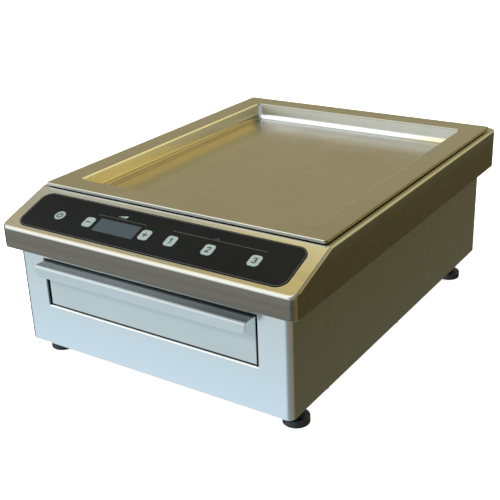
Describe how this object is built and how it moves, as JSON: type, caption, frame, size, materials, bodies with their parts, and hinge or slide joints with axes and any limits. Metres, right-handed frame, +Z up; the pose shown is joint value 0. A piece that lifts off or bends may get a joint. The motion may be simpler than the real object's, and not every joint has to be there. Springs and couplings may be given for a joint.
{
  "type": "countertop induction griddle",
  "caption": "Countertop induction griddle: stainless hood with a recessed cooking plate, sloped keypad panel, grease drawer below and round levelling feet.",
  "frame": {"origin": "centre of the bounding box in plan, on the surface the feet stand on", "axes": "+Z up, -Y the control panel and drawer side (front), +X the user's right when facing the front"},
  "size_m": [0.4, 0.5516, 0.2053],
  "materials": {
    "stainless_steel": "brushed",
    "cooking_steel": "brushed",
    "fasteners": "satin",
    "black_rubber": "matte",
    "black_film": "satin",
    "key_film": "satin",
    "lcd_glass": "gloss",
    "circuit_board": "satin",
    "black_plastic": "matte",
    "mica": "satin",
    "copper": "satin",
    "ferrite": "matte",
    "aluminium_fins": "satin",
    "sensor_metal": "satin"
  },
  "bodies": {
    "chassis": {"base_plate": "stainless_steel", "board_posts": "black_plastic", "board_screws": "fasteners", "board_spacers": "fasteners", "bulkhead": "stainless_steel", "cable_gland": "black_plastic", "casing": "stainless_steel", "casing_screws": "fasteners", "coil_carriers": "black_plastic", "coil_crossbars": "stainless_steel", "coil_tray": "stainless_steel", "control_overlay": "black_film", "display_board": "circuit_board", "drain_spout": "stainless_steel", "drawer_rails": "stainless_steel", "drawer_stops": "black_rubber", "drip_shield": "stainless_steel", "earth_stud": "sensor_metal", "fan_frame": "black_plastic", "feet": "black_rubber", "ferrite_bars": "ferrite", "film_capacitors": "black_plastic", "filter_choke": "copper", "foot_nuts": "fasteners", "foot_studs": "fasteners", "gland_locknut": "black_plastic", "griddle_plate": "cooking_steel", "heatsink": "aluminium_fins", "hood": "stainless_steel", "hood_nuts": "fasteners", "hood_studs": "fasteners", "hood_supports": "stainless_steel", "induction_coils": "copper", "key_switches": "black_plastic", "lcd_module": "lcd_glass", "lcd_window": "lcd_glass", "mica_sheet": "mica", "plate_gasket": "black_rubber", "plate_nuts": "fasteners", "plate_studs": "fasteners", "power_board": "circuit_board", "power_transistors": "black_plastic", "rear_panel": "stainless_steel", "rectifier_bridge": "black_plastic", "side_rivets": "fasteners", "temperature_sensors": "sensor_metal", "terminal_block": "black_plastic"},
    "drawer": {"drawer_front": "stainless_steel", "drawer_handle": "stainless_steel", "drawer_tray": "stainless_steel", "drawer_studs": "fasteners", "drawer_nuts": "fasteners"},
    "fan_impeller": {"fan_rotor": "black_plastic"},
    "button_power": {"key_power": "key_film"},
    "button_minus": {"key_minus": "key_film"},
    "button_plus": {"key_plus": "key_film"},
    "button_preset_1": {"key_preset_1": "key_film"},
    "button_preset_2": {"key_preset_2": "key_film"},
    "button_preset_3": {"key_preset_3": "key_film"}
  },
  "joints": [
    {"name": "drawer_slide", "type": "slide", "parent": "chassis", "child": "drawer", "axis": [0, -1, 0], "range_m": [0, 0.235]},
    {"name": "button_power_press", "type": "slide", "parent": "chassis", "child": "button_power", "axis": [0, 0.334, -0.9426], "range_m": [0, 0.0005], "stiffness_N_per_m": 1500},
    {"name": "button_minus_press", "type": "slide", "parent": "chassis", "child": "button_minus", "axis": [0, 0.334, -0.9426], "range_m": [0, 0.0005], "stiffness_N_per_m": 1500},
    {"name": "button_plus_press", "type": "slide", "parent": "chassis", "child": "button_plus", "axis": [0, 0.334, -0.9426], "range_m": [0, 0.0005], "stiffness_N_per_m": 1500},
    {"name": "button_preset_1_press", "type": "slide", "parent": "chassis", "child": "button_preset_1", "axis": [0, 0.334, -0.9426], "range_m": [0, 0.0005], "stiffness_N_per_m": 1500},
    {"name": "button_preset_2_press", "type": "slide", "parent": "chassis", "child": "button_preset_2", "axis": [0, 0.334, -0.9426], "range_m": [0, 0.0005], "stiffness_N_per_m": 1500},
    {"name": "button_preset_3_press", "type": "slide", "parent": "chassis", "child": "button_preset_3", "axis": [0, 0.334, -0.9426], "range_m": [0, 0.0005], "stiffness_N_per_m": 1500},
    {"name": "fan_spin", "type": "hinge", "parent": "chassis", "child": "fan_impeller", "pos_m": [-0.1, 0.12975, 0.0389], "axis": [0, 0, 1], "continuous": true}
  ]
}
